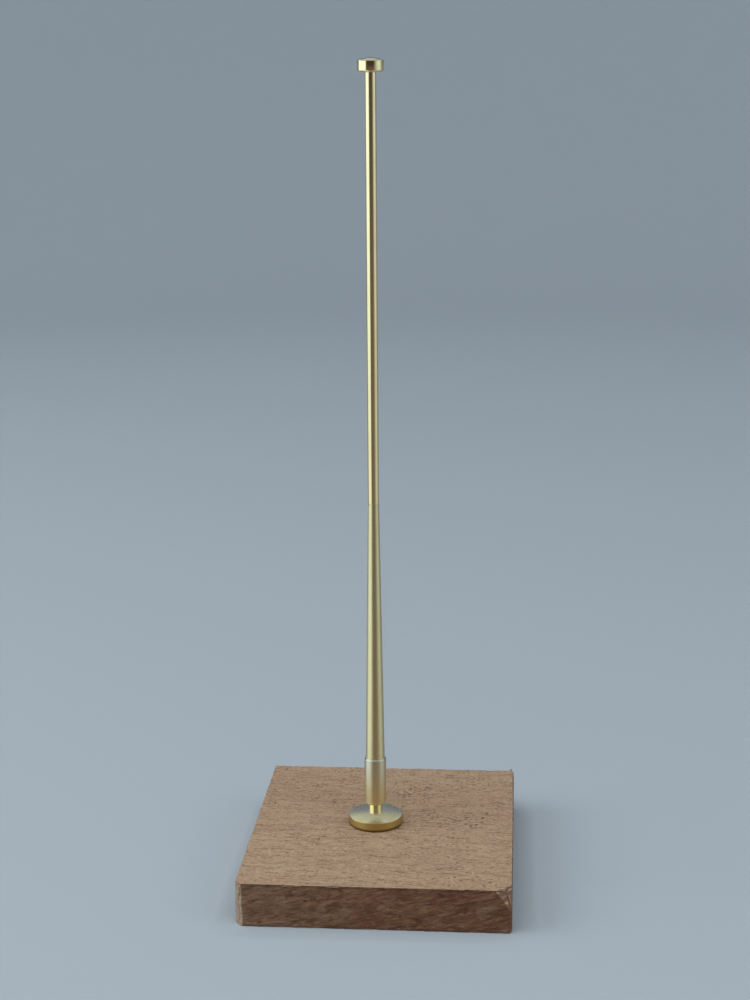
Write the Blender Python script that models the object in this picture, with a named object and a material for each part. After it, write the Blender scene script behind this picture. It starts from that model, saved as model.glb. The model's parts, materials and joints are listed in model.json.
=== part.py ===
"""A model flagstaff standing in a swivelling brass socket on a rough-sawn wooden base.

Run with blender --background --python part.py, or from the text editor. Units are metres, +Z is up,
and the origin is the centre of the base's underside. Every turned piece shares the staff's axis, and
its heights are measured from the top face of the base.
"""

import math

import bmesh
import bpy

MM = 0.001

# Wooden base, with the grain along X
BASE_WIDTH = 76.2 * MM
BASE_DEPTH = 88.9 * MM
BASE_THICKNESS = 12.7 * MM
BASE_EDGE = 0.5 * MM
SANDED_CORNER = 1.6 * MM
COUNTERBORE_RADIUS = 5.5 * MM
COUNTERBORE_DEPTH = 5.2 * MM

# The staff's axis, as the socket was drilled a little off the middle of the base
AXIS_X = -2.5 * MM
AXIS_Y = 0.6 * MM

# Clearances
SEAM = 0.02 * MM  # between pieces that are soldered or clamped together
RUNNING = 0.05 * MM  # between pieces that turn or slide on each other

# Domed flange, turned from 5/8 inch bar, with a boss that presses into the base
FLANGE_RADIUS = 7.94 * MM
FLANGE_RIM = 2.8 * MM
FLANGE_TOP = 3.2 * MM
FLANGE_FOOT_CHAMFER = 0.35 * MM
FLANGE_EDGE = 0.12 * MM
BOSS_RADIUS = 3.0 * MM
BOSS_LENGTH = 3.3 * MM

# Socket: a turned stem with a threaded shank, soldered into a 1/4 inch thin-wall tube
SHANK_RADIUS = 1.5 * MM
NECK_RADIUS = 2.02 * MM
TUBE_RADIUS = 3.175 * MM
TUBE_WALL = 0.355 * MM
TUBE_FOOT = 6.35 * MM
TUBE_TOP = 20.45 * MM
STEM_HEAD = 2.2 * MM
SHANK_END = -11.4 * MM

# Washer and nut in the counterbore
WASHER_RADIUS = 3.5 * MM
WASHER_THICKNESS = 0.5 * MM
NUT_ACROSS_FLATS = 5.5 * MM
NUT_HEIGHT = 2.4 * MM

# Staff: a turned taper on a parallel plug, with a 1/8 inch rod soldered into its top
PLUG_RADIUS = 2.77 * MM
TAPER_TOP = 96.6 * MM
ROD_RADIUS = 1.5875 * MM
TENON_RADIUS = 0.8 * MM
TENON_LENGTH = 8.0 * MM
ROD_TOP = 216.15 * MM

# Truck, the button on the rod's threaded end
TRUCK_RADIUS = 3.75 * MM
TRUCK_BOTTOM = 216.2 * MM
TRUCK_WALL_TOP = 219.1 * MM
TRUCK_TOP = 219.95 * MM
TRUCK_CHAMFER = 0.35 * MM
TRUCK_SCREW_RADIUS = 1.0 * MM
TRUCK_SCREW_LENGTH = 2.4 * MM

SEGMENTS = 64
SMOOTH_ANGLE = math.radians(30)


def clear_scene():
    for obj in list(bpy.data.objects):
        bpy.data.objects.remove(obj, do_unlink=True)


def finish(name, colour, roughness, metallic):
    material = bpy.data.materials.new(name)
    material.use_nodes = True
    shader = material.node_tree.nodes["Principled BSDF"]
    shader.inputs["Base Color"].default_value = (*colour, 1.0)
    shader.inputs["Roughness"].default_value = roughness
    shader.inputs["Metallic"].default_value = metallic
    return material


def wood(name):
    return finish(name, (0.36, 0.23, 0.155), 0.75, 0.0)


def satin_brass(name):
    return finish(name, (0.80, 0.71, 0.42), 0.34, 1.0)


def bright_brass(name):
    return finish(name, (0.86, 0.74, 0.43), 0.16, 1.0)


def piece(name, mesh, material, parent):
    """Puts a mesh in the scene as one named part, on its parent's origin."""
    obj = bpy.data.objects.new(name, mesh)
    bpy.context.scene.collection.objects.link(obj)
    obj.parent = parent
    if material is not None:
        mesh.materials.append(material)
    mesh.shade_smooth()
    mesh.set_sharp_from_angle(angle=SMOOTH_ANGLE)
    return obj


def axis_empty(name, location, parent=None):
    empty = bpy.data.objects.new(name, None)
    bpy.context.scene.collection.objects.link(empty)
    empty.location = location
    empty.parent = parent
    return empty


def turned_mesh(name, outline, segments=SEGMENTS):
    """Spins an outline of (radius, height) points round Z. An outline that misses the axis is closed."""
    shape = bmesh.new()
    points = [shape.verts.new((radius, 0.0, height)) for radius, height in outline]
    edges = [shape.edges.new(pair) for pair in zip(points, points[1:])]
    if outline[0][0] > 0.0:
        edges.append(shape.edges.new((points[-1], points[0])))
    bmesh.ops.spin(
        shape,
        geom=points + edges,
        cent=(0.0, 0.0, 0.0),
        axis=(0.0, 0.0, 1.0),
        angle=math.tau,
        steps=segments,
        use_merge=True,
    )
    bmesh.ops.remove_doubles(shape, verts=shape.verts[:], dist=0.001 * MM)
    bmesh.ops.recalc_face_normals(shape, faces=shape.faces[:])
    mesh = bpy.data.meshes.new(name)
    shape.to_mesh(mesh)
    shape.free()
    return mesh


def dome(radius, edge_height, top_height, inner_radius, steps):
    """Points of a shallow dome, from inner_radius out to radius."""
    points = []
    for step in range(steps + 1):
        r = inner_radius + (radius - inner_radius) * step / steps
        rise = (top_height - edge_height) * (1.0 - (r / radius) ** 2)
        points.append((r, edge_height + rise))
    return points


def cutter(name, mesh, parent):
    obj = piece(name, mesh, None, parent)
    obj.hide_render = True
    obj.display_type = "WIRE"
    return obj


def boolean(obj, other, operation):
    modifier = obj.modifiers.new(other.name, "BOOLEAN")
    modifier.operation = operation
    modifier.solver = "EXACT"
    modifier.object = other


def make_base(staff_axis):
    """The block, with soft edges, one sanded corner, a stepped hole and a counterbore underneath."""
    shape = bmesh.new()
    bmesh.ops.create_cube(shape, size=1.0)
    bmesh.ops.scale(shape, vec=(BASE_WIDTH, BASE_DEPTH, BASE_THICKNESS), verts=shape.verts[:])
    bmesh.ops.translate(shape, vec=(0.0, 0.0, BASE_THICKNESS / 2), verts=shape.verts[:])
    upright = [e for e in shape.edges if abs(e.verts[0].co.z - e.verts[1].co.z) > BASE_THICKNESS / 2]
    front_left = [e for e in upright if max(v.co.x for v in e.verts) < 0 and max(v.co.y for v in e.verts) < 0]
    bmesh.ops.bevel(shape, geom=front_left, offset=SANDED_CORNER, segments=1, affect="EDGES")
    top = [e for e in shape.edges if min(v.co.z for v in e.verts) > BASE_THICKNESS * 0.9]
    bmesh.ops.bevel(shape, geom=top, offset=BASE_EDGE, segments=2, profile=0.5, affect="EDGES")
    mesh = bpy.data.meshes.new("wooden_base")
    shape.to_mesh(mesh)
    shape.free()
    base = piece("wooden_base", mesh, wood("base_wood"), None)

    boss_hole = BOSS_RADIUS + RUNNING
    shank_hole = SHANK_RADIUS + 4 * RUNNING
    ceiling = COUNTERBORE_DEPTH - BASE_THICKNESS
    floor = -BOSS_LENGTH - 2 * RUNNING
    above = 1.0 * MM
    below = -BASE_THICKNESS - 1.0 * MM
    bore = [
        (0.0, above),
        (boss_hole, above),
        (boss_hole, floor),
        (shank_hole, floor),
        (shank_hole, ceiling),
        (COUNTERBORE_RADIUS, ceiling),
        (COUNTERBORE_RADIUS, below),
        (0.0, below),
    ]
    boolean(base, cutter("base_bore", turned_mesh("base_bore", bore), staff_axis), "DIFFERENCE")


def make_flange(staff_axis):
    bore = SHANK_RADIUS + RUNNING
    outline = dome(FLANGE_RADIUS - FLANGE_EDGE, FLANGE_RIM, FLANGE_TOP, bore, 10)
    outline += [
        (FLANGE_RADIUS, FLANGE_RIM - FLANGE_EDGE),
        (FLANGE_RADIUS, SEAM + FLANGE_FOOT_CHAMFER),
        (FLANGE_RADIUS - FLANGE_FOOT_CHAMFER, SEAM),
        (BOSS_RADIUS, SEAM),
        (BOSS_RADIUS, -BOSS_LENGTH),
        (bore, -BOSS_LENGTH),
    ]
    piece("domed_flange", turned_mesh("domed_flange", outline), satin_brass("flange_brass"), staff_axis)


def make_socket(socket_axis):
    """The stem: a head inside the tube's foot, a neck, and the shank down through flange and base."""
    bore = TUBE_RADIUS - TUBE_WALL
    head_radius = bore - SEAM
    shoulder = FLANGE_TOP + RUNNING
    end_chamfer = 0.2 * MM
    stem = [
        (0.0, TUBE_FOOT + STEM_HEAD),
        (head_radius, TUBE_FOOT + STEM_HEAD),
        (head_radius, TUBE_FOOT),
        (NECK_RADIUS, TUBE_FOOT),
        (NECK_RADIUS, shoulder),
        (SHANK_RADIUS, shoulder),
        (SHANK_RADIUS, SHANK_END + end_chamfer),
        (SHANK_RADIUS - end_chamfer, SHANK_END),
        (0.0, SHANK_END),
    ]
    piece("socket_stem", turned_mesh("socket_stem", stem), bright_brass("stem_brass"), socket_axis)

    lip = 0.05 * MM
    top_chamfer = 0.38 * MM
    foot_chamfer = 0.15 * MM
    tube = [
        (bore, TUBE_TOP),
        (bore + lip, TUBE_TOP),
        (TUBE_RADIUS, TUBE_TOP - top_chamfer),
        (TUBE_RADIUS, TUBE_FOOT + foot_chamfer),
        (TUBE_RADIUS - foot_chamfer, TUBE_FOOT),
        (bore, TUBE_FOOT),
    ]
    piece("socket_tube", turned_mesh("socket_tube", tube), satin_brass("tube_brass"), socket_axis)


def washer_bottom():
    return COUNTERBORE_DEPTH - BASE_THICKNESS - SEAM - WASHER_THICKNESS


def make_washer(staff_axis):
    top = washer_bottom() + WASHER_THICKNESS
    bore = SHANK_RADIUS + 2 * RUNNING
    outline = [(bore, top), (WASHER_RADIUS, top), (WASHER_RADIUS, washer_bottom()), (bore, washer_bottom())]
    piece("flat_washer", turned_mesh("flat_washer", outline, 48), satin_brass("washer_brass"), staff_axis)


def make_nut(socket_axis):
    """A hexagonal nut with its corners chamfered top and bottom by an intersecting turned shape."""
    top = washer_bottom() - RUNNING
    bottom = top - NUT_HEIGHT
    corner = NUT_ACROSS_FLATS / 2 / math.cos(math.pi / 6)
    outside = 0.5 * MM
    length = NUT_HEIGHT + 2 * outside
    shape = bmesh.new()
    bmesh.ops.create_cone(shape, cap_ends=True, segments=6, radius1=corner, radius2=corner, depth=length)
    bmesh.ops.translate(shape, vec=(0.0, 0.0, (top + bottom) / 2), verts=shape.verts[:])
    mesh = bpy.data.meshes.new("lock_nut")
    shape.to_mesh(mesh)
    shape.free()
    nut = piece("lock_nut", mesh, satin_brass("nut_brass"), socket_axis)

    flat = NUT_ACROSS_FLATS / 2 * 0.97
    drop = (corner + outside - flat) * math.tan(math.radians(30))
    envelope = [
        (0.0, top),
        (flat, top),
        (corner + outside, top - drop),
        (corner + outside, bottom + drop),
        (flat, bottom),
        (0.0, bottom),
    ]
    boolean(nut, cutter("nut_envelope", turned_mesh("nut_envelope", envelope, 48), socket_axis), "INTERSECT")
    hole = SHANK_RADIUS + SEAM
    bore = [(0.0, top + outside), (hole, top + outside), (hole, bottom - outside), (0.0, bottom - outside)]
    boolean(nut, cutter("nut_bore", turned_mesh("nut_bore", bore), socket_axis), "DIFFERENCE")


def make_staff(staff_seat):
    """The taper on its plug, drilled at the top for the rod's tenon, and the rod."""
    end_chamfer = 0.4 * MM
    plug_foot = TUBE_FOOT + STEM_HEAD + RUNNING
    tenon_bore = TENON_RADIUS + SEAM
    taper = [
        (0.0, TAPER_TOP - TENON_LENGTH - SEAM),
        (tenon_bore, TAPER_TOP - TENON_LENGTH - SEAM),
        (tenon_bore, TAPER_TOP),
        (ROD_RADIUS, TAPER_TOP),
        (PLUG_RADIUS, TUBE_TOP),
        (PLUG_RADIUS, plug_foot + end_chamfer),
        (PLUG_RADIUS - end_chamfer, plug_foot),
        (0.0, plug_foot),
    ]
    mesh = turned_mesh("tapered_staff", taper)
    piece("tapered_staff", mesh, satin_brass("taper_brass"), staff_seat)

    screw_chamfer = 0.15 * MM
    screw_top = ROD_TOP + TRUCK_SCREW_LENGTH
    rod = [
        (0.0, screw_top),
        (TRUCK_SCREW_RADIUS - screw_chamfer, screw_top),
        (TRUCK_SCREW_RADIUS, screw_top - screw_chamfer),
        (TRUCK_SCREW_RADIUS, ROD_TOP),
        (ROD_RADIUS, ROD_TOP),
        (ROD_RADIUS, TAPER_TOP + SEAM),
        (TENON_RADIUS, TAPER_TOP + SEAM),
        (TENON_RADIUS, TAPER_TOP - TENON_LENGTH),
        (0.0, TAPER_TOP - TENON_LENGTH),
    ]
    piece("staff_rod", turned_mesh("staff_rod", rod, 48), bright_brass("rod_brass"), staff_seat)


def make_truck(truck_seat):
    """The button: a low domed top, chamfered edges, and a blind hole below for the rod's screwed end."""
    top_chamfer = 0.3 * MM
    hole = TRUCK_SCREW_RADIUS + RUNNING
    hole_top = ROD_TOP + TRUCK_SCREW_LENGTH + 2 * RUNNING
    edge_radius = TRUCK_RADIUS - top_chamfer
    outline = dome(edge_radius, TRUCK_WALL_TOP + top_chamfer, TRUCK_TOP, 0.0, 8)
    outline += [
        (TRUCK_RADIUS, TRUCK_WALL_TOP),
        (TRUCK_RADIUS, TRUCK_BOTTOM + TRUCK_CHAMFER),
        (TRUCK_RADIUS - TRUCK_CHAMFER, TRUCK_BOTTOM),
        (hole, TRUCK_BOTTOM),
        (hole, hole_top),
        (0.0, hole_top),
    ]
    piece("truck", turned_mesh("truck", outline), bright_brass("truck_brass"), truck_seat)


def main():
    clear_scene()
    staff_axis = axis_empty("staff_axis", (AXIS_X, AXIS_Y, BASE_THICKNESS))
    socket_axis = axis_empty("socket_axis", (0.0, 0.0, 0.0), staff_axis)
    staff_seat = axis_empty("staff_seat", (0.0, 0.0, 0.0), socket_axis)
    truck_seat = axis_empty("truck_seat", (0.0, 0.0, 0.0), staff_seat)
    make_base(staff_axis)
    make_flange(staff_axis)
    make_washer(staff_axis)
    make_socket(socket_axis)
    make_nut(socket_axis)
    make_staff(staff_seat)
    make_truck(truck_seat)


main()
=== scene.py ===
"""The looks of a model flagstaff in its swivelling socket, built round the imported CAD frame.

Every turned piece is spun again as a fine mesh with eased edges, feed marks and threads, and the
wooden base is made as a dense block with its grain, torn saw marks and knocked corners. Outlines are
in millimetres: the distance from the staff's axis, and the height over the base's top face.
"""

import json
import math

import bmesh
import bpy
import numpy as np
from mathutils import Matrix, Vector, noise


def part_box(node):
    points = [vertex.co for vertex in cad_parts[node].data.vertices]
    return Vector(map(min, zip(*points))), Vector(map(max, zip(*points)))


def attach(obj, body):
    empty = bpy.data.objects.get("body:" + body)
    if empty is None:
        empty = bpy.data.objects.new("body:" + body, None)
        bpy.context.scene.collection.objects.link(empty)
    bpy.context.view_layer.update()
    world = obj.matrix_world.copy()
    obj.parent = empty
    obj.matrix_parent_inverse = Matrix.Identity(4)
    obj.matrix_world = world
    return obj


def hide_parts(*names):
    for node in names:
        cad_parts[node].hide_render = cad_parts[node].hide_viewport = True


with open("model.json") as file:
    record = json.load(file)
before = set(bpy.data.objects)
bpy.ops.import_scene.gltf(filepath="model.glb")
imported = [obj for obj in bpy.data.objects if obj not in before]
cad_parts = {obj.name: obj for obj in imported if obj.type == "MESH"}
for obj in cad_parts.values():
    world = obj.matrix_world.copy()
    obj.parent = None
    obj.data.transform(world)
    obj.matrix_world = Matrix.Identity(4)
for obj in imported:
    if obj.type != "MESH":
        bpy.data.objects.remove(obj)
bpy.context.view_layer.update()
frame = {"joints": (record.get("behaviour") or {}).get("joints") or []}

MM = 0.001
MICRON = 0.000001
AXIS = Vector(next(j["pos_m"] for j in frame["joints"] if j["name"] == "socket_swivel"))

# The camera, at the photograph's viewing angle
CAMERA_PLACE = Vector((0.03815, -0.50793, 0.22869))
CAMERA_YAW = math.radians(-4.523)
CAMERA_TILT = math.radians(13.047)
CAMERA_ROLL = math.radians(-0.394)
LENS_MM = 66.4

# Turned work: lengths in millimetres, angles in radians
SEGMENTS = 192
FINE_SEGMENTS = 384
EASED_EDGE = 0.04
CORNER_STEPS = 3
SKIN = 0.01
NO_LENGTH = 1e-9
ON_AXIS = 0.0001
SAME_POINT = 0.0005
NEARLY_STRAIGHT = math.radians(172)
SHARP_TURNED = math.radians(40)

# Wooden base: lengths in millimetres, the saw marks' rise per millimetre along X, and an angle
LATTICE_FINE = 0.18
LATTICE_COARSE = 0.56
LATTICE_BAND = 1.3
SAW_SLANT = 0.31
SHARP_SAWN = math.radians(50)

# Brass, with painted reflections on the tube and the flange's rim, and painted shade along the rim's foot
SATIN = (0.80, 0.72, 0.44)
SATIN_TARNISH = (0.70, 0.60, 0.34)
STAFF_SATIN = (0.75, 0.69, 0.43)
BRIGHT = (0.87, 0.78, 0.48)
BRIGHT_TARNISH = (0.78, 0.68, 0.40)
NECK_BRIGHT = (0.97, 0.85, 0.60)
# The tube's painted reflections: of the wood at its foot, of the backdrop at its mouth
TUBE_FOOT_PAINTED_REFLECTION = (0.80, 0.66, 0.36)
TUBE_MOUTH_PAINTED_REFLECTION = (0.66, 0.69, 0.66)
# The flange rim's painted reflection of the wood, and the painted shade along its foot
RIM_PAINTED_REFLECTION = (0.56, 0.40, 0.12)
RIM_FOOT_PAINTED_SHADE = (0.30, 0.17, 0.04)

# Finishes of brass: the roughness, how far it spreads, the depth of the tool lines and the anisotropy
STAFF_FINISH = (0.38, 0.02, 0.3 * MICRON, 0.4)
FITTING_FINISH = (0.34, 0.04, 1.0 * MICRON, 0.4)
TUBE_FINISH = (0.36, 0.04, 1.0 * MICRON, 0.4)
FLANGE_FINISH = (0.25, 0.03, 1.2 * MICRON, 0.4)
POLISHED_FINISH = (0.12, 0.02, 0.3 * MICRON, 0.3)
NECK_FINISH = (0.10, 0.02, 0.4 * MICRON, 0.3)
DRAWN_FINISH = (0.17, 0.03, 1.5 * MICRON, 0.3)

# Tool lines and the broader bands between them: cycles per metre outwards, per radian and per metre up
TURNED_LINES, TURNED_BANDS = (14000.0, 0.25, 14000.0), (2600.0, 0.12, 2600.0)
DRAWN_LINES, DRAWN_BANDS = (0.0, 9.0, 60.0), (0.0, 2.5, 25.0)

# Wood on the base's top
TOP_PINK, TOP_BROWN = (0.415, 0.285, 0.188), (0.375, 0.248, 0.164)
RING_BROWN = (0.290, 0.170, 0.112)
STREAK_BROWN = (0.20, 0.112, 0.070)
FIBRE_PALE = (0.60, 0.43, 0.30)
MOTTLE_DARK = (0.165, 0.085, 0.054)
BACK_BROWN = (0.25, 0.155, 0.11)
PORE_DARK = (0.10, 0.05, 0.033)

# Wood on its torn sawn sides and its knocked corners, with painted shade and painted highlight on the torn
# relief and painted light on the sanded corner
# The sawn tone is pale on raised lumps and red in low ones: partly the wood's own colour, partly painted
# light and shade
SAWN_PALE_AND_LIT, SAWN_RED_AND_SHADED = (0.225, 0.115, 0.063), (0.140, 0.056, 0.030)
SAWN_LEFT_GREY = (0.270, 0.185, 0.125)
SAWN_RIGHT_RED = (0.120, 0.042, 0.022)
# Painted shade in the torn hollows and pits, and painted highlight on the raised fibres and pit rims
TEAR_PAINTED_SHADE, TEAR_PAINTED_HIGHLIGHT = (0.080, 0.030, 0.017), (0.33, 0.20, 0.12)
PIT_PAINTED_SHADE, PIT_PAINTED_HIGHLIGHT = (0.065, 0.025, 0.016), (0.27, 0.175, 0.110)
# Painted shade just under the top edge, where the edge overhangs the sides
UNDER_EDGE_PAINTED_SHADE = (0.085, 0.030, 0.018)
# The sanded front left facet: partly paler sanded wood, partly painted light from the left
SANDED_AND_LIT_PALE = (0.41, 0.32, 0.245)
BROKEN_BROWN = (0.185, 0.095, 0.060)

# Studio
FLOOR_COLOUR = (0.40, 0.44, 0.49)
COOL_WHITE = (0.94, 1.0, 1.0)


def node_span(name):
    """Outer radius, lowest and highest height of a turned CAD node, in millimetres on the staff's axis."""
    low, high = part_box(name)
    return (high.x - low.x) / 2 / MM, (low.z - AXIS.z) / MM, (high.z - AXIS.z) / MM


def new_piece(name, mesh, location=(0.0, 0.0, 0.0)):
    """An object of this mesh, linked into the scene."""
    obj = bpy.data.objects.new(name, mesh)
    bpy.context.scene.collection.objects.link(obj)
    obj.location = location
    return obj


def settle(obj, node, body, material):
    """Hands a finished piece to its body, in place of its CAD node."""
    obj.data.materials.clear()
    obj.data.materials.append(material)
    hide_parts(node)
    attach(obj, body)


# ---------------------------------------------------------------- turned meshes


def eased(outline, ease=EASED_EDGE):
    """The outline with each corner broken by a small curve, as a file or a cloth leaves it."""
    points = [Vector(p) for p in outline]
    result = []
    last = len(points) - 1
    for index, corner in enumerate(points):
        if index in (0, last):
            result.append(corner)
            continue
        back = points[index - 1] - corner
        ahead = points[index + 1] - corner
        doubled = back.length < NO_LENGTH or ahead.length < NO_LENGTH
        if doubled or back.angle(ahead) > NEARLY_STRAIGHT:
            result.append(corner)
            continue
        reach = min(ease, back.length / 3, ahead.length / 3)
        start = corner + back.normalized() * reach
        end = corner + ahead.normalized() * reach
        for step in range(CORNER_STEPS + 1):
            t = step / CORNER_STEPS
            result.append(start * (1 - t) ** 2 + corner * 2 * t * (1 - t) + end * t * t)
    return [tuple(p) for p in result]


def line(start, end, spacing):
    """Points from start to end, end left out, no further apart than spacing."""
    start, end = Vector(start), Vector(end)
    count = max(1, math.ceil((end - start).length / spacing))
    return [tuple(start.lerp(end, step / count)) for step in range(count)]


def dome(radius, edge_height, top_height, inner_radius, steps):
    """A parabolic dome's outline, from its inner radius out to its edge."""
    points = []
    for step in range(steps + 1):
        r = inner_radius + (radius - inner_radius) * step / steps
        points.append((r, edge_height + (top_height - edge_height) * (1 - (r / radius) ** 2)))
    return points


def spun(outline, segments):
    """A bmesh of an outline in metres, spun round Z. One that starts off the axis is closed first."""
    spinning = bmesh.new()
    points = [spinning.verts.new((r, 0.0, h)) for r, h in outline]
    edges = [spinning.edges.new(pair) for pair in zip(points, points[1:])]
    if outline[0][0] > 0.0:
        edges.append(spinning.edges.new((points[-1], points[0])))
    bmesh.ops.spin(
        spinning,
        geom=points + edges,
        cent=(0.0, 0.0, 0.0),
        axis=(0.0, 0.0, 1.0),
        angle=math.tau,
        steps=segments,
        use_merge=True,
    )
    bmesh.ops.remove_doubles(spinning, verts=spinning.verts[:], dist=SAME_POINT * MM)
    return spinning


def smooth_mesh(name, spinning):
    """The bmesh as a smooth mesh with its normals made consistent. It frees the bmesh."""
    bmesh.ops.recalc_face_normals(spinning, faces=spinning.faces[:])
    mesh = bpy.data.meshes.new(name)
    spinning.to_mesh(mesh)
    spinning.free()
    mesh.shade_smooth()
    return mesh


def turned(name, outline, segments=SEGMENTS, shape=None):
    """Spins an outline in millimetres round Z. shape(radius, angle, height) gives a point's final radius."""
    spinning = spun([(r * MM, h * MM) for r, h in outline], segments)
    if shape is not None:
        for v in spinning.verts:
            radius = math.hypot(v.co.x, v.co.y)
            if radius > ON_AXIS * MM:
                wanted = shape(radius / MM, math.atan2(v.co.y, v.co.x), v.co.z / MM) * MM
                v.co.x *= wanted / radius
                v.co.y *= wanted / radius
    mesh = smooth_mesh(name, spinning)
    mesh.set_sharp_from_angle(angle=SHARP_TURNED)
    return new_piece(name, mesh, AXIS)


def thread_form(phase):
    """0 at a thread's root and 1 at its crest, with small flats on both."""
    root_flat, flank = 0.12, 0.72
    saw = abs((phase % 1.0) * 2 - 1)
    return min(1.0, max(0.0, (saw - root_flat) / flank))


def threaded(crest, root, pitch, low, high):
    """A shape with a helical thread between two heights, on points that lie at the crest's radius."""

    def shape(radius, angle, height):
        if not low <= height <= high or abs(radius - crest) > abs(crest - root) / 2:
            return radius
        fade = min(1.0, (height - low) / pitch, (high - height) / pitch)
        depth = (1 - thread_form(height / pitch - angle / math.tau)) * fade
        return radius + (root - crest) * depth

    return shape


# ---------------------------------------------------------------- materials


def tree_of(name):
    """A new material and its node tree."""
    material = bpy.data.materials.new(name)
    material.use_nodes = True
    return material, material.node_tree


def add(tree, kind, settings=(), **inputs):
    """A node of this kind. Inputs are given by name, with spaces as underscores, as values or sockets."""
    made = tree.nodes.new(kind)
    for key, value in dict(settings).items():
        setattr(made, key, value)
    for key, value in inputs.items():
        socket = made.inputs[key.replace("_", " ")]
        if isinstance(value, bpy.types.NodeSocket):
            tree.links.new(value, socket)
        else:
            socket.default_value = value
    return made


def math_node(tree, operation, first, second=None, clamp=False):
    made = tree.nodes.new("ShaderNodeMath")
    made.operation = operation
    made.use_clamp = clamp
    for socket, value in zip(made.inputs, (first, second)):
        if isinstance(value, bpy.types.NodeSocket):
            tree.links.new(value, socket)
        elif value is not None:
            socket.default_value = value
    return made.outputs[0]


def times(tree, first, second):
    return math_node(tree, "MULTIPLY", first, second)


def plus(tree, *values):
    total = values[0]
    for value in values[1:]:
        total = math_node(tree, "ADD", total, value)
    return total


def stretched(tree, coordinates, scale, shift=(0.0, 0.0, 0.0)):
    """Coordinates multiplied by a scale per axis, as a pattern's cycles per metre."""
    mapping = add(tree, "ShaderNodeMapping", Vector=coordinates)
    mapping.inputs["Location"].default_value = shift
    mapping.inputs["Scale"].default_value = scale
    return mapping.outputs[0]


def turned_about(tree, coordinates, axis, degrees):
    """Coordinates turned about "X", "Y" or "Z", so that a pattern along another axis lies at a slant."""
    turn = [math.radians(degrees) if letter == axis else 0.0 for letter in "XYZ"]
    mapping = add(tree, "ShaderNodeMapping", Vector=coordinates)
    mapping.inputs["Rotation"].default_value = turn
    return mapping.outputs[0]


def noise_of(tree, coordinates, detail=2.0, roughness=0.5, distortion=0.0):
    made = add(
        tree,
        "ShaderNodeTexNoise",
        Vector=coordinates,
        Scale=1.0,
        Detail=detail,
        Roughness=roughness,
        Distortion=distortion,
    )
    return made.outputs[0]


def ramp(tree, value, low, high, out_low=0.0, out_high=1.0):
    """The value taken smoothly from out_low to out_high as it goes from low to high."""
    made = add(tree, "ShaderNodeMapRange", Value=value)
    made.interpolation_type = "SMOOTHSTEP"
    made.inputs["From Min"].default_value = low
    made.inputs["From Max"].default_value = high
    made.inputs["To Min"].default_value = out_low
    made.inputs["To Max"].default_value = out_high
    return made.outputs[0]


def blend_colours(tree, factor, first, second):
    made = tree.nodes.new("ShaderNodeMix")
    made.data_type = "RGBA"
    for socket, value in zip((made.inputs[0], made.inputs[6], made.inputs[7]), (factor, first, second)):
        if isinstance(value, bpy.types.NodeSocket):
            tree.links.new(value, socket)
        elif isinstance(value, tuple):
            socket.default_value = (*value, 1.0)
        else:
            socket.default_value = value
    return made.outputs[2]


def layered(tree, tone, *layers):
    """The tone with each layer, a factor and a colour, laid over it in turn."""
    for factor, colour in layers:
        tone = blend_colours(tree, factor, tone, colour)
    return tone


def lathe_coordinates(tree):
    """A turned piece's own coordinates, and (distance from its axis, angle round it, height)."""
    place = add(tree, "ShaderNodeTexCoord").outputs["Object"]
    x, y, z = add(tree, "ShaderNodeSeparateXYZ", Vector=place).outputs
    radius = math_node(tree, "SQRT", plus(tree, times(tree, x, x), times(tree, y, y)))
    angle = math_node(tree, "ARCTAN2", y, x)
    joined = add(tree, "ShaderNodeCombineXYZ", X=radius, Y=angle, Z=z)
    return place, joined.outputs[0]


def brass(name, colour, tarnish, finish, drawn=False, tint=None):
    """Turned or drawn brass: fine tool lines, uneven gloss, and a thin uneven tarnish.

    tint(tree, place, tone) may change the tone where a piece is paler or browner, as the painted
    reflections and painted shade on the tube and the flange do, and tell how much rougher it is there.
    """
    roughness, spread, line_depth, anisotropy = finish
    material, tree = tree_of(name)
    shader = tree.nodes["Principled BSDF"]
    shader.inputs["Metallic"].default_value = 1.0
    place, lathe = lathe_coordinates(tree)
    lines = noise_of(tree, stretched(tree, lathe, DRAWN_LINES if drawn else TURNED_LINES))
    bands = noise_of(tree, stretched(tree, lathe, DRAWN_BANDS if drawn else TURNED_BANDS))
    patches = noise_of(tree, stretched(tree, place, (260.0, 260.0, 140.0)), detail=3.0, roughness=0.6)
    specks = noise_of(tree, stretched(tree, place, (3800.0, 3800.0, 3800.0)), detail=1.0)

    dull = ramp(tree, patches, 0.38, 0.72)
    spots = ramp(tree, specks, 0.74, 0.84)
    tone = layered(tree, colour, (times(tree, dull, 0.45), tarnish), (times(tree, spots, 0.15), tarnish))
    rougher = 0.0
    if tint is not None:
        tone, rougher = tint(tree, place, tone)
    tree.links.new(tone, shader.inputs["Base Color"])

    banded = ramp(tree, bands, 0.3, 0.7, -spread, spread)
    gloss = plus(tree, banded, roughness, times(tree, dull, spread), rougher)
    gloss = math_node(tree, "ADD", gloss, times(tree, spots, 0.08), clamp=True)
    tree.links.new(gloss, shader.inputs["Roughness"])

    relief = plus(tree, lines, times(tree, bands, 0.8))
    bump = add(tree, "ShaderNodeBump", Height=relief, Strength=1.0, Distance=line_depth)
    tree.links.new(bump.outputs[0], shader.inputs["Normal"])

    tangent = tree.nodes.new("ShaderNodeTangent")
    tangent.direction_type = "RADIAL"
    tangent.axis = "Z"
    tree.links.new(tangent.outputs[0], shader.inputs["Tangent"])
    shader.inputs["Anisotropic"].default_value = anisotropy
    shader.inputs["Anisotropic Rotation"].default_value = 0.25
    return material


def staff_brass():
    return brass("satin_brass_staff", STAFF_SATIN, SATIN_TARNISH, STAFF_FINISH)


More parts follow.
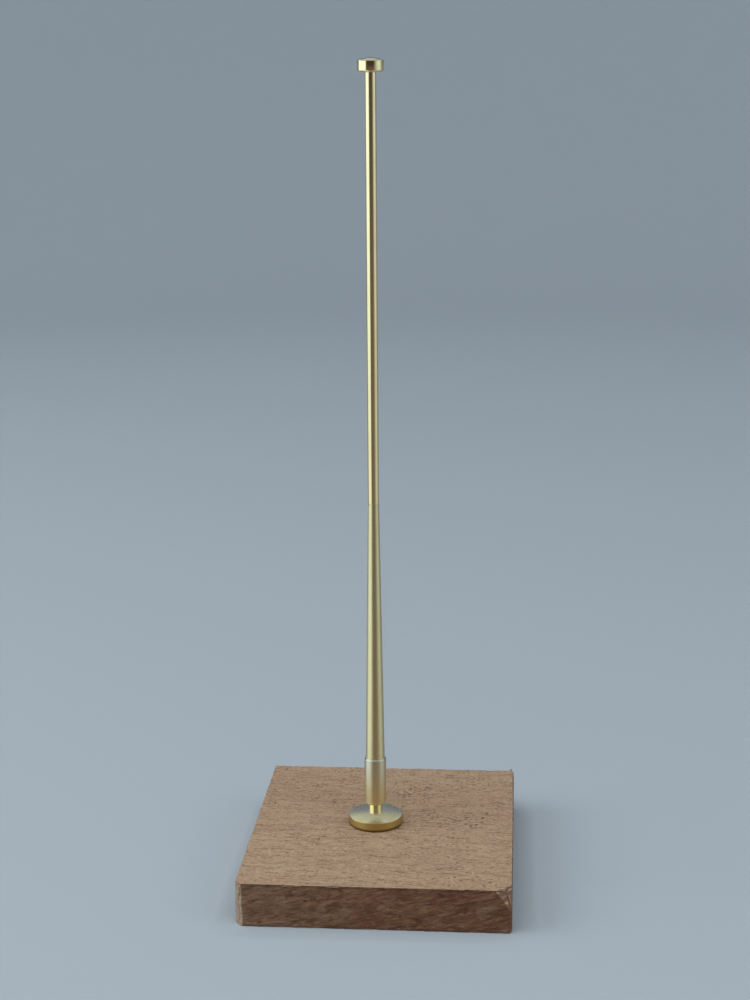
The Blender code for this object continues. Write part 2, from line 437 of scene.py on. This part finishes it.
def fitting_brass():
    return brass("satin_brass_fittings", SATIN, SATIN_TARNISH, FITTING_FINISH)


def tube_brass(foot, mouth):
    """Satin brass with painted reflections: more golden at the tube's foot, where it would mirror the wood,
    and paler and greyer towards its mouth, where it would mirror the backdrop.
    """

    def tint(tree, place, tone):
        height = add(tree, "ShaderNodeSeparateXYZ", Vector=place).outputs[2]
        # Painted reflection, blended from the wood's gold at the foot to the backdrop's grey at the mouth
        up = ramp(tree, height, foot * MM, mouth * MM)
        golden = blend_colours(tree, 0.5, tone, TUBE_FOOT_PAINTED_REFLECTION)
        pale = blend_colours(tree, 0.6, tone, TUBE_MOUTH_PAINTED_REFLECTION)
        return blend_colours(tree, up, golden, pale), 0.0

    return brass("satin_brass_tube", SATIN, SATIN_TARNISH, TUBE_FINISH, tint=tint)


def flange_brass():
    """Satin brass. A painted reflection of the wood makes the rim a deeper golden brown than the dome, and
    painted shade makes it deepest along its foot.
    """

    def tint(tree, place, tone):
        normal = add(tree, "ShaderNodeNewGeometry").outputs["Normal"]
        upright = add(tree, "ShaderNodeSeparateXYZ", Vector=normal).outputs[2]
        side = ramp(tree, upright, 0.35, 0.75, 1.0, 0.0)
        height = add(tree, "ShaderNodeSeparateXYZ", Vector=place).outputs[2]
        # Painted shade along the rim's foot, where it sits on the wood
        foot = ramp(tree, height, 0.45 * MM, 1.05 * MM, 1.0, 0.0)
        # The painted reflection covers the upright rim, and the painted shade covers its foot
        rim = times(tree, side, 0.78)
        painted_foot_shade = times(tree, side, foot)
        return layered(tree, tone, (rim, RIM_PAINTED_REFLECTION), (painted_foot_shade, RIM_FOOT_PAINTED_SHADE)), times(tree, side, 0.16)

    return brass("satin_brass_flange", SATIN, SATIN_TARNISH, FLANGE_FINISH, tint=tint)


def polished_brass():
    return brass("bright_brass_polished", BRIGHT, BRIGHT_TARNISH, POLISHED_FINISH)


def neck_brass():
    """Paler than the truck's brass, since the flange below already colours what it mirrors."""
    return brass("bright_brass_neck", NECK_BRIGHT, BRIGHT, NECK_FINISH)


def drawn_brass():
    return brass("bright_brass_drawn", BRIGHT, BRIGHT_TARNISH, DRAWN_FINISH, drawn=True)


def bent_grain(tree, place):
    """Coordinates that drift slowly across the grain, so that no streak runs quite straight."""
    drift = noise_of(tree, stretched(tree, place, (45.0, 60.0, 60.0)))
    across = add(tree, "ShaderNodeCombineXYZ", X=0.0, Y=times(tree, drift, 0.008), Z=0.0)
    grain = add(tree, "ShaderNodeVectorMath", {"operation": "ADD"})
    tree.links.new(place, grain.inputs[0])
    tree.links.new(across.outputs[0], grain.inputs[1])
    return grain.outputs[0]


def open_pores(tree, place, grain, back):
    """1 in a pore and 0 between pores, which lie along the grain, wider and denser in patches."""
    cells = add(
        tree,
        "ShaderNodeTexVoronoi",
        Vector=stretched(tree, grain, (620.0, 1250.0, 1250.0)),
        Scale=1.0,
        Randomness=1.0,
    )
    crowd = noise_of(tree, stretched(tree, place, (70.0, 130.0, 130.0), (3.1, 0.4, 0.0)))
    crowd = plus(tree, crowd, times(tree, back, 0.10))
    chance = add(tree, "ShaderNodeSeparateColor", Color=cells.outputs["Color"]).outputs[0]
    widest = times(tree, ramp(tree, crowd, 0.35, 0.80, 0.10, 0.40), chance)
    outside = math_node(tree, "SUBTRACT", cells.outputs["Distance"], widest)
    return ramp(tree, outside, -0.06, 0.05, 1.0, 0.0)


def top_wood(tree, grain, fibres, mottle, pores, back):
    """The colour of the base's top: broad drifts, rings, streaks, fibres, mottle and open pores."""
    broad = noise_of(tree, stretched(tree, grain, (14.0, 60.0, 60.0)), detail=3.0, roughness=0.55)
    rings = noise_of(tree, stretched(tree, grain, (40.0, 330.0, 330.0)), roughness=0.6)
    streaks = stretched(tree, turned_about(tree, grain, "Z", 4), (230.0, 1000.0, 1000.0))
    streaks = noise_of(tree, streaks, detail=3.0, roughness=0.65, distortion=0.6)
    return layered(
        tree,
        blend_colours(tree, ramp(tree, broad, 0.3, 0.7), TOP_PINK, TOP_BROWN),
        (ramp(tree, rings, 0.42, 0.72, 0.0, 0.35), RING_BROWN),
        (ramp(tree, streaks, 0.46, 0.70, 0.0, 0.8), STREAK_BROWN),
        (ramp(tree, fibres, 0.48, 0.72, 0.0, 0.65), FIBRE_PALE),
        (ramp(tree, mottle, 0.52, 0.70, 0.0, 0.70), MOTTLE_DARK),
        (times(tree, back, 0.1), BACK_BROWN),
        (times(tree, pores, 0.75), PORE_DARK),
    )


def sawn_wood(tree, place, lumps, tears, pits):
    """The colour of the torn sides: greyer on the left and redder on the right, with painted shade in the
    torn hollows and under the top edge, and painted highlight on the crests.
    """
    x, _, height = add(tree, "ShaderNodeSeparateXYZ", Vector=place).outputs
    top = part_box("wooden_base")[1].z
    return layered(
        tree,
        # Pale on the raised lumps and red in the low ones: partly the wood's own colour, partly painted
        # shade in the hollows
        blend_colours(tree, ramp(tree, lumps, 0.34, 0.66), SAWN_PALE_AND_LIT, SAWN_RED_AND_SHADED),
        (ramp(tree, x, -0.035, 0.0, 0.30, 0.0), SAWN_LEFT_GREY),
        (ramp(tree, x, -0.010, 0.020, 0.0, 0.30), SAWN_RIGHT_RED),
        # Painted shade in the deep tears and painted highlight on the raised ones, following the bump
        (ramp(tree, tears, 0.48, 0.74, 0.0, 0.7), TEAR_PAINTED_SHADE),
        (ramp(tree, tears, 0.26, 0.46, 0.55, 0.0), TEAR_PAINTED_HIGHLIGHT),
        # Painted highlight round the pits' raised rims and painted shade inside them, following the bump
        (ramp(tree, pits, 0.30, 0.46, 0.38, 0.0), PIT_PAINTED_HIGHLIGHT),
        (ramp(tree, pits, 0.60, 0.72, 0.0, 0.7), PIT_PAINTED_SHADE),
        # A band of painted shade on the sides just under the top edge
        (ramp(tree, height, top - 0.0011, top - 0.0004, 0.0, 0.55), UNDER_EDGE_PAINTED_SHADE),
    )


def base_wood():
    """Rough pinkish hardwood with its grain along X, open pores on top, and darker torn sawn sides."""
    material, tree = tree_of("rough_sawn_hardwood")
    shader = tree.nodes["Principled BSDF"]
    place = add(tree, "ShaderNodeTexCoord").outputs["Object"]
    depth = add(tree, "ShaderNodeSeparateXYZ", Vector=place).outputs[1]
    back = ramp(tree, depth, -0.030, 0.025)
    grain = bent_grain(tree, place)
    fibres = stretched(tree, turned_about(tree, grain, "Z", -3), (800.0, 2600.0, 2600.0))
    fibres = noise_of(tree, fibres, roughness=0.6, distortion=0.8)
    mottle = stretched(tree, turned_about(tree, place, "Z", 31), (1250.0, 1250.0, 1250.0))
    mottle = noise_of(tree, mottle, detail=3.0, roughness=0.6, distortion=0.8)
    pores = open_pores(tree, place, grain, back)
    rising = turned_about(tree, place, "Y", 14)
    lumps = stretched(tree, rising, (130.0, 330.0, 300.0))
    lumps = noise_of(tree, lumps, detail=5.0, roughness=0.75, distortion=0.5)
    tears = noise_of(tree, stretched(tree, rising, (300.0, 1700.0, 1900.0)), detail=3.0, roughness=0.6)
    pits = noise_of(tree, stretched(tree, rising, (330.0, 420.0, 480.0), (7.0, 0.0, 2.0)), detail=3.0)

    normal = add(tree, "ShaderNodeNewGeometry").outputs["Normal"]
    facing = add(tree, "ShaderNodeSeparateXYZ", Vector=normal)
    long_side = ramp(tree, math_node(tree, "ABSOLUTE", facing.outputs[1]), 0.74, 0.84)
    end_side = ramp(tree, math_node(tree, "ABSOLUTE", facing.outputs[0]), 0.84, 0.94)
    side = math_node(tree, "MAXIMUM", long_side, end_side)
    oblique = times(tree, facing.outputs[0], facing.outputs[1])
    tone = layered(
        tree,
        top_wood(tree, grain, fibres, mottle, pores, back),
        (side, sawn_wood(tree, place, lumps, tears, pits)),
        # The sanded facet at the front left corner is paler: partly sanded wood, partly painted light from
        # the left
        (ramp(tree, oblique, 0.36, 0.46, 0.0, 0.6), SANDED_AND_LIT_PALE),
        (ramp(tree, oblique, -0.44, -0.30, 0.8, 0.0), BROKEN_BROWN),
    )
    tree.links.new(tone, shader.inputs["Base Color"])
    tree.links.new(ramp(tree, fibres, 0.3, 0.7, 0.74, 0.94), shader.inputs["Roughness"])
    shader.inputs["Specular IOR Level"].default_value = 0.25

    fine = plus(tree, times(tree, fibres, 0.3), times(tree, mottle, 0.35))
    unsawn = math_node(tree, "SUBTRACT", 1.0, side)
    fine = math_node(tree, "SUBTRACT", fine, times(tree, pores, times(tree, unsawn, 0.9)))
    torn = plus(tree, lumps, times(tree, tears, 0.6), pits)
    raised = plus(tree, fine, times(tree, torn, times(tree, side, -1.3)))
    bump = add(tree, "ShaderNodeBump", Height=raised, Strength=1.0, Distance=0.25 * MM)
    tree.links.new(bump.outputs[0], shader.inputs["Normal"])
    return material


# ---------------------------------------------------------------- brass pieces


def make_flange():
    """The domed flange. Its rim is a little faceted where the tool chattered, as faint upright streaks."""
    radius, low, top = node_span("domed_flange")
    bore = 1.55
    rim = top - 0.4
    edge = 0.12
    foot = 0.02
    foot_chamfer = 0.35
    boss = 3.0
    chatter_marks, chatter_depth = 14.0, 0.008
    outline = dome(radius - edge, rim, top, bore, 40)
    outline += [
        (radius, rim - edge),
        *line((radius, rim - edge - 0.05), (radius, foot + foot_chamfer), 0.25),
        (radius, foot + foot_chamfer),
        (radius - foot_chamfer, foot),
        (boss, foot),
        (boss, low),
        (bore, low),
    ]

    def chatter(r, angle, height):
        if r < radius - SKIN:
            return r
        round_rim = Vector((math.cos(angle) * chatter_marks, math.sin(angle) * chatter_marks, height * 0.3))
        return r - chatter_depth * (0.5 + 0.5 * noise.noise(round_rim))

    return turned("flange", eased(outline), FINE_SEGMENTS, chatter)


def make_stem():
    """Neck, head and threaded shank of the socket, in one turned piece."""
    neck = 2.02
    shank, shoulder, foot = 1.5, 3.25, 6.35
    head_radius, low, head_top = node_span("socket_stem")
    thread_low, thread_high = low + 0.3, -5.0
    thread_root, pitch = 1.2, 0.5
    outline = eased(
        [
            (0.0, head_top),
            (head_radius, head_top),
            (head_radius, foot),
            (neck, foot),
            (neck, shoulder),
            (shank, shoulder),
            (shank, thread_high + 0.05),
        ]
    )
    outline += line((shank, thread_high), (shank, thread_low), pitch / 8)
    outline += [(shank, thread_low), (shank - 0.25, low), (0.0, low)]
    thread = threaded(shank, thread_root, pitch, thread_low, thread_high)
    return turned("socket_neck", outline, shape=thread)


def make_tube():
    """The thin tube, with the bright chamfer at its mouth and a long chamfer at its foot."""
    radius, foot, mouth = node_span("socket_tube")
    bore = radius - 0.355
    lip, mouth_chamfer = 0.05, 0.38
    foot_lip, foot_chamfer = 0.03, 0.7
    feed_pitch, feed_depth = 0.9, 0.0012
    outline = [(bore, mouth), (bore + lip, mouth), (radius, mouth - mouth_chamfer)]
    outline += line((radius, mouth - mouth_chamfer - 0.1), (radius, foot + foot_chamfer + 0.1), 0.4)
    outline += [(radius, foot + foot_chamfer), (bore + foot_lip, foot), (bore, foot)]

    def feed(r, angle, height):
        if r < radius - SKIN:
            return r
        return r - feed_depth * (1 + math.sin(height * math.tau / feed_pitch - angle))

    return turned("tube", eased(outline, 0.03), shape=feed)


def make_washer():
    """A stamped washer, whose edges are rounder than a turned piece's."""
    radius, low, high = node_span("flat_washer")
    bore, stamped_edge = 1.6, 0.12
    outline = [(bore, high), (radius, high), (radius, low), (bore, low)]
    return turned("washer", eased(outline + outline[:1], stamped_edge)[:-1])


def make_nut():
    """A hexagonal nut: each height's radius is the chamfer's or the hexagon's, whichever is less."""
    _, low, high = node_span("lock_nut")
    near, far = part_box("lock_nut")
    flat = (far.y - near.y) / MM / 2
    corner = flat / math.cos(math.pi / 6)
    beyond_corner = corner + 0.03
    chamfer_start = flat * 0.97
    drop = (corner - chamfer_start) * math.tan(math.radians(30)) + 0.02
    bore, thread_depth, pitch = 1.52, 0.25, 0.5
    outline = [(bore + thread_depth, high), (chamfer_start, high)]
    outline += line((chamfer_start, high), (beyond_corner, high - drop), 0.03)[1:]
    outline += line((beyond_corner, high - drop), (beyond_corner, low + drop), 0.15)
    outline += line((beyond_corner, low + drop), (chamfer_start, low), 0.03)
    outline += [(chamfer_start, low), (bore + thread_depth, low), (bore, low + thread_depth)]
    outline += line((bore, low + thread_depth), (bore, high - thread_depth), pitch / 8)[1:]
    outline += [(bore, high - thread_depth)]
    thread = threaded(bore, bore + thread_depth, pitch, low + 0.2, high - 0.2)

    def hexagon(r, angle, height):
        if r < chamfer_start - SKIN:
            return thread(r, angle, height)
        turn = angle % (math.pi / 3) - math.pi / 6
        return min(r, flat / math.cos(turn))

    return turned("nut", outline, FINE_SEGMENTS, hexagon)


def make_taper():
    """The turned taper on its plug, with the fine ripple that the lathe's feed left."""
    plug, low, top = node_span("tapered_staff")
    rod = node_span("staff_rod")[0]
    mouth = node_span("socket_tube")[2]
    bore, bore_depth = 0.82, 8.02
    feed_pitch, feed_depth = 0.42, 0.0011
    outline = [
        (0.0, top - bore_depth),
        (bore, top - bore_depth),
        (bore, top),
        (rod, top),
    ]
    outline += line((rod + (plug - rod) * 0.002, top - 0.12), (plug, mouth), feed_pitch / 4)
    outline += [(plug, mouth), (plug, low + 0.4), (plug - 0.4, low), (0.0, low)]

    def ripple(r, angle, height):
        if height < mouth or r < rod - SKIN:
            return r
        swell = 0.5 + 0.5 * noise.noise(Vector((0.0, 0.0, height * 0.11)))
        return r - feed_depth * swell * (1 + math.sin(height * math.tau / feed_pitch - angle))

    return turned("taper", outline, 128, ripple)


def make_rod():
    """The drawn rod, with a tenon into the taper below and a screwed end for the truck above."""
    radius, low, high = node_span("staff_rod")
    seat = node_span("truck")[1] - 0.05
    joint = node_span("tapered_staff")[2] + 0.02
    tenon, screw, thread_root, pitch = 0.8, 1.0, 0.8, 0.4
    outline = [(0.0, high), (screw - 0.15, high), (screw, high - 0.15)]
    outline += line((screw, high - 0.2), (screw, seat), pitch / 8)
    outline += eased([(screw, seat), (radius, seat), (radius, seat - 0.6)])
    outline += line((radius, seat - 0.7), (radius, joint + 0.7), 3.0)
    outline += eased([(radius, joint + 0.6), (radius, joint), (tenon, joint), (tenon, low), (0.0, low)])
    return turned("rod", outline, 96, threaded(screw, thread_root, pitch, seat + 0.1, high - 0.1))


def make_truck():
    """The button: polished wall, chamfers, a very low dome and a screwed blind hole underneath."""
    radius, low, high = node_span("truck")
    wall_top = high - 0.85
    chamfer, foot_chamfer = 0.3, 0.35
    hole, thread_depth, pitch = 1.05, 0.2, 0.4
    hole_top = node_span("staff_rod")[2] + 0.1
    outline = dome(radius - chamfer, wall_top + chamfer, high, 0.0, 30)
    outline += [
        (radius, wall_top),
        (radius, low + foot_chamfer),
        (radius - foot_chamfer, low),
        (hole + thread_depth, low),
        (hole, low + thread_depth),
    ]
    outline = eased(outline)
    outline += line((hole, low + 0.25), (hole, hole_top), pitch / 8)
    outline += [(hole, hole_top), (0.0, hole_top)]
    thread = threaded(hole, hole + thread_depth, pitch, low + 0.3, hole_top - 0.05)
    return turned("button", outline, shape=thread)


# ---------------------------------------------------------------- wooden base


def graded(low, high):
    """Coordinates from low to high, fine near both ends and coarse between them, in millimetres."""
    fine = np.arange(0.0, LATTICE_BAND, LATTICE_FINE)
    inner = np.linspace(low + LATTICE_BAND, high - LATTICE_BAND, int((high - low) / LATTICE_COARSE))
    return np.concatenate([low + fine, inner, (high - fine)[::-1]])


def lattice_box(low, high):
    """Points and quads of a box's surface on a graded lattice, each corner and edge point shared."""
    axes = [graded(low[i], high[i]) for i in range(3)]
    sizes = [len(a) for a in axes]
    numbers = {}
    points = []

    def point(i, j, k):
        key = (i, j, k)
        if key not in numbers:
            numbers[key] = len(points)
            points.append((axes[0][i], axes[1][j], axes[2][k]))
        return numbers[key]

    quads = []
    for fixed in range(3):
        u, v = (fixed + 1) % 3, (fixed + 2) % 3
        for end in (0, sizes[fixed] - 1):
            for a in range(sizes[u] - 1):
                for b in range(sizes[v] - 1):
                    corners = []
                    for da, db in ((0, 0), (1, 0), (1, 1), (0, 1)):
                        key = [0, 0, 0]
                        key[fixed], key[u], key[v] = end, a + da, b + db
                        corners.append(point(*key))
                    quads.append(corners if end else corners[::-1])
    return points, quads


def wobble(x, y, z, seed):
    """Smooth noise of about -0.7 to 0.7 at a place, unlike any other seed's."""
    return noise.noise(Vector((x, y, z + 37.0 * seed)))


def edge_radius(p, high):
    """How far the block's edges are worn at a point: chipped in places, and rounder at the back right."""
    worn = 0.34 + 0.18 * wobble(p.x * 0.35, p.y * 0.35, p.z * 0.35, 1)
    chips = max(0.0, wobble(p.x * 0.55, p.y * 0.55, p.z * 0.2, 2) - 0.22)
    back_right = max(0.0, 1 - (high.x - p.x) / 3) * max(0.0, min(1.0, (p.y - 15) / 20))
    foot = max(0.0, 1 - p.z / 2)
    return min(1.2, max(0.12, worn + 1.3 * chips + 0.55 * back_right + 0.35 * foot))


def rounded(p, low, high):
    """The point moved onto the worn block, and the outward direction there."""
    radius = edge_radius(p, high)
    inner = Vector([min(max(p[i], low[i] + radius), high[i] - radius) for i in range(3)])
    out = p - inner
    if out.length < 1e-6:
        return p, Vector((0.0, 0.0, 1.0))
    out.normalize()
    return inner + out * radius, out


def relief(p, out):
    """Depth of the tool marks and torn fibres under a point of the block, in millimetres."""
    x, y, z = p
    slow_y = y * 0.02
    flat_depth = 0.05 + 0.05 * wobble(x * 0.10, y * 0.75, 0.0, 3) + 0.05 * wobble(x * 0.35, y * 1.3, 0.0, 4)
    slant = z - x * SAW_SLANT
    along = x + z * SAW_SLANT
    torn = wobble(along * 0.16, slant * 0.6, slow_y, 5)
    coarse = wobble(along * 0.45, slant * 1.4, slow_y, 6)
    pits = max(0.0, wobble(x * 0.4, z * 0.6, slow_y, 9) - 0.3)
    ragged = 0.5 + 0.5 * wobble(x * 0.13, 0.0, slow_y, 10) + 0.35 * wobble(x * 0.9, 0.0, slow_y, 11)
    sawn_depth = 0.22 + 0.24 * torn + 0.20 * coarse + 1.2 * pits + 0.35 * ragged * max(0.0, out.z)
    end_depth = 0.10 + 0.05 * math.sin(y * 2.1 + z * 0.9) + 0.10 * wobble(0.0, y * 0.8, z * 0.8, 7)
    weights = (out.x**4, out.y**4, out.z**4)
    total = sum(weights)
    oblique = min(1.0, max(0.0, 2 * out.x * out.y))
    depth = (weights[0] * end_depth + weights[1] * sawn_depth + weights[2] * flat_depth) / total
    return depth * (1 - 0.8 * oblique) + 0.05 * oblique


def knocks(low, high):
    """Planes that cut the block's corners, each as a point on it and its outward direction."""
    left, right = low.x, high.x
    front, top = low.y, high.z
    sanded, chipped, worn = 2.3, 4.9, 1.1
    return [
        (Vector((left + sanded, front, 0.0)), Vector((-1.0, -1.0, -0.03)).normalized()),
        (Vector((right - chipped, front, top)), Vector((0.58, -0.70, 0.42)).normalized()),
        (Vector((right - worn, front, 0.0)), Vector((0.8, -0.6, -0.16)).normalized()),
    ]


def splinter(p, high):
    """Height of the torn fibre that stands up near the back right corner, at a point of the top."""
    from_right, from_back, reach, height = 0.95, 0.35, 0.42, 1.0
    if p.z <= high.z / 2:
        return 0.0
    distance = math.hypot(p.x - (high.x - from_right), p.y - (high.y - from_back))
    return height * max(0.0, 1 - distance / reach) ** 0.8


def make_block():
    """The sawn block, bored through for the shank and counterbored for the nut."""
    low, high = (Vector(corner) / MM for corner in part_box("wooden_base"))
    points, quads = lattice_box(low, high)
    cuts = knocks(low, high)
    placed = []
    for raw in points:
        p, out = rounded(Vector(raw), low, high)
        for on_plane, normal in cuts:
            beyond = (p - on_plane).dot(normal)
            rough = 0.12 * wobble(p.x, p.y * 1.3, p.z * 1.3, 8)
            if beyond > rough:
                p = p - normal * (beyond - rough)
        p = p - out * relief(p, out)
        p.z = max(0.0, p.z + splinter(p, high))
        placed.append(p * MM)
    mesh = bpy.data.meshes.new("block")
    mesh.from_pydata(placed, [], quads)
    mesh.validate()
    mesh.shade_smooth()
    block = new_piece("block", mesh)
    bore_block(block, high.z)
    return block


def bore_block(block, thickness):
    """Cuts the stepped hole with a turned cutter, and applies the cut."""
    boss, shank, counterbore = 3.05, 1.7, 5.5
    floor, ceiling, below = -3.4, 5.2 - thickness, -thickness - 1.0
    outline = [(0.0, 1.0), (boss, 1.0), (boss, floor), (shank, floor), (shank, ceiling)]
    outline += [(counterbore, ceiling), (counterbore, below), (0.0, below)]
    cutter = turned("bore_cutter", outline, 128)
    bpy.context.view_layer.update()
    modifier = block.modifiers.new("bore", "BOOLEAN")
    modifier.operation = "DIFFERENCE"
    modifier.solver = "EXACT"
    modifier.object = cutter
    evaluated = block.evaluated_get(bpy.context.evaluated_depsgraph_get())
    cut = bpy.data.meshes.new_from_object(evaluated)
    block.modifiers.clear()
    block.data = cut
    bpy.data.objects.remove(cutter)
    cut.set_sharp_from_angle(angle=SHARP_SAWN)


# ---------------------------------------------------------------- studio


def sweep():
    """A plain pale floor that curves up into a wall all round. Metal mirrors the studio's light instead."""
    reach, bend, wall = 1.3, 0.9, 1.6
    floor_steps, bend_steps = 12, 16
    outline = [(reach * step / floor_steps, 0.0) for step in range(floor_steps + 1)]
    for step in range(1, bend_steps + 1):
        a = math.pi / 2 * step / bend_steps
        outline.append((reach + bend * math.sin(a), bend * (1 - math.cos(a))))
    outline.append((reach + bend, wall))
    mesh = smooth_mesh("studio_floor", spun(outline, 96))
    floor = new_piece("studio_floor", mesh)
    floor.visible_glossy = False
    material, tree = tree_of("pale_paper")
    shader = tree.nodes["Principled BSDF"]
    shader.inputs["Base Color"].default_value = (*FLOOR_COLOUR, 1.0)
    shader.inputs["Roughness"].default_value = 0.95
    shader.inputs["Specular IOR Level"].default_value = 0.0
    mesh.materials.append(material)


def softbox(name, azimuth, height, distance, size, radiance, aim=(0.0, 0.0, 0.1)):
    """A soft area light, not seen by metal. Azimuth is 0 at the front, 90 at +X."""
    a = math.radians(azimuth)
    light = bpy.data.lights.new(name, "AREA")
    light.shape = "RECTANGLE"
    light.size, light.size_y = size
    light.energy = radiance * math.pi * size[0] * size[1]
    light.color = COOL_WHITE
    obj = bpy.data.objects.new(name, light)
    bpy.context.scene.collection.objects.link(obj)
    obj.location = (math.sin(a) * distance, -math.cos(a) * distance, height)
    obj.rotation_euler = (Vector(aim) - obj.location).to_track_quat("-Z", "Y").to_euler()
    obj.visible_camera = False
    obj.visible_glossy = False


def make_lights():
    """Light for the wood, the floor and the wall. Metal mirrors the world's painted softboxes instead."""
    softbox("left_softbox", -75, 0.75, 1.1, (1.0, 0.8), 3.2)
    softbox("right_softbox", 70, 0.75, 1.1, (0.8, 0.8), 1.0)
    softbox("overhead_softbox", 0, 1.4, 0.75, (1.2, 1.0), 2.3)
    wall_distance = 2.1
    for azimuth in (0, 90, 180, 270):
        a = math.radians(azimuth)
        wall = (math.sin(a) * wall_distance, -math.cos(a) * wall_distance, 0.3)
        softbox("wall_softbox_%d" % azimuth, azimuth, 1.6, 0.8, (1.6, 0.6), 3.4, wall)


def window(tree, value, start, full, end_full, end):
    """1 between full and end_full, falling smoothly to 0 at start and end."""
    rise = ramp(tree, value, start, full)
    fall = ramp(tree, value, end_full, end, 1.0, 0.0)
    return times(tree, rise, fall)


def make_world():
    """What metal mirrors: a bright softbox on the left, a weaker one on the right, and a blue backdrop.

    Only glossy rays see it. Azimuth is 0 at the front and pi/2 at +X, in radians. Rise is the sine of
    the height over the horizon.
    """
    low_backdrop, high_backdrop = (0.260, 0.270, 0.330), (0.085, 0.125, 0.270)
    over_left, over_right = (0.78, 0.82, 0.82), (0.44, 0.47, 0.47)
    table, dark_low, dark_high = (0.205, 0.170, 0.150), (0.150, 0.098, 0.088), (0.050, 0.040, 0.034)
    ceiling, zenith = (0.48, 0.50, 0.49), (0.40, 0.41, 0.35)
    left_box, right_box = (1.25, 1.42, 1.42), (0.74, 0.85, 0.83)

    world = bpy.data.worlds.new("studio")
    bpy.context.scene.world = world
    world.use_nodes = True
    tree = world.node_tree
    direction = add(tree, "ShaderNodeTexCoord").outputs["Generated"]
    x, y, rise = add(tree, "ShaderNodeSeparateXYZ", Vector=direction).outputs
    azimuth = math_node(tree, "ARCTAN2", x, times(tree, y, -1.0))
    turned_away = math_node(tree, "ABSOLUTE", azimuth)

    over_backdrop = blend_colours(tree, ramp(tree, x, -0.4, 0.4), over_left, over_right)
    backdrop = blend_colours(tree, ramp(tree, rise, 0.0, 0.12), low_backdrop, high_backdrop)
    backdrop = blend_colours(tree, ramp(tree, rise, 0.37, 0.44), backdrop, over_backdrop)
    room = layered(
        tree,
        blend_colours(tree, ramp(tree, rise, -0.06, 0.0), dark_low, dark_high),
        (ramp(tree, rise, -0.30, -0.08, 1.0, 0.0), table),
        (ramp(tree, rise, 0.36, 0.68), ceiling),
    )
    fading = times(tree, ramp(tree, rise, 0.60, 0.80, 1.0, 0.0), ramp(tree, rise, -0.30, 0.02, 0.58, 1.0))
    colour = layered(
        tree,
        room,
        (ramp(tree, turned_away, 1.5, 2.4), backdrop),
        (ramp(tree, rise, 0.56, 0.76), zenith),
        (times(tree, window(tree, azimuth, -2.05, -1.72, -0.74, -0.50), fading), left_box),
        (times(tree, window(tree, azimuth, 0.42, 1.30, 1.50, 2.10), fading), right_box),
    )
    background = tree.nodes["Background"]
    tree.links.new(colour, background.inputs["Color"])
    background.inputs["Strength"].default_value = 1.0
    world.cycles.sampling_method = "NONE"
    world.cycles_visibility.camera = False
    world.cycles_visibility.diffuse = False


def make_camera():
    """The camera, turned to its heading and tilt and then rolled about its line of sight."""
    forward = Vector(
        (
            math.sin(CAMERA_YAW) * math.cos(CAMERA_TILT),
            math.cos(CAMERA_YAW) * math.cos(CAMERA_TILT),
            -math.sin(CAMERA_TILT),
        )
    )
    level = Vector((math.cos(CAMERA_YAW), -math.sin(CAMERA_YAW), 0.0))
    above = level.cross(forward)
    right = level * math.cos(CAMERA_ROLL) + above * math.sin(CAMERA_ROLL)
    up = above * math.cos(CAMERA_ROLL) - level * math.sin(CAMERA_ROLL)
    data = bpy.data.cameras.new("camera")
    data.lens = LENS_MM
    data.clip_start, data.clip_end = 0.01, 20.0
    camera = bpy.data.objects.new("camera", data)
    bpy.context.scene.collection.objects.link(camera)
    turn = Matrix((right, up, -forward)).transposed()
    camera.matrix_world = Matrix.Translation(CAMERA_PLACE) @ turn.to_4x4()
    bpy.context.scene.camera = camera


def make_object():
    """Makes the nine pieces. The dome is too dull to mirror the neck and the tube, so nothing does."""
    neck, tube = make_stem(), make_tube()
    neck.visible_glossy = False
    tube.visible_glossy = False
    staff, fittings, polished = staff_brass(), fitting_brass(), polished_brass()
    foot, mouth = node_span("socket_tube")[1:]
    settle(make_block(), "wooden_base", "base", base_wood())
    settle(make_flange(), "domed_flange", "base", flange_brass())
    settle(make_washer(), "flat_washer", "base", fittings)
    settle(neck, "socket_stem", "socket", neck_brass())
    settle(tube, "socket_tube", "socket", tube_brass(foot, mouth))
    settle(make_nut(), "lock_nut", "socket", fittings)
    settle(make_taper(), "tapered_staff", "staff", staff)
    settle(make_rod(), "staff_rod", "staff", drawn_brass())
    settle(make_truck(), "truck", "truck", polished)


make_object()
sweep()
make_lights()
make_world()
make_camera()
bpy.context.scene.view_settings.view_transform = "Standard"
